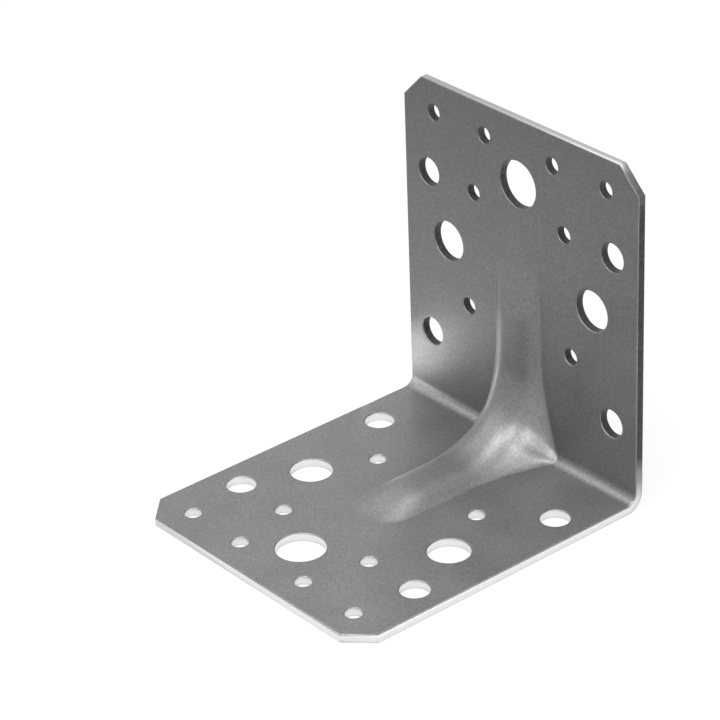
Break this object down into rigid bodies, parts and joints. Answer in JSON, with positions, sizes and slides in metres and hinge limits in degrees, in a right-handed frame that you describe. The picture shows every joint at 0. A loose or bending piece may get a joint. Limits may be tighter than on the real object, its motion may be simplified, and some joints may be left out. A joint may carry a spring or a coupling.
{
  "type": "angle bracket",
  "caption": "Folded sheet-steel angle bracket with chamfered corners, rows of nail, bolt and anchor holes, and a pressed stiffening rib through the fold.",
  "frame": {"origin": "middle of the heel, on the line in which the two outer faces would meet", "axes": "+X across the width; the base flange runs towards -Y with its outer face down; the upright flange stands along +Z with its outer face towards +Y"},
  "size_m": [0.09, 0.1, 0.1],
  "materials": {
    "galvanised_steel": "galvanised sheet, satin grey with a fine grain and paler sheared edges"
  },
  "bodies": {
    "root": {"bracket": "galvanised_steel"}
  },
  "joints": []
}
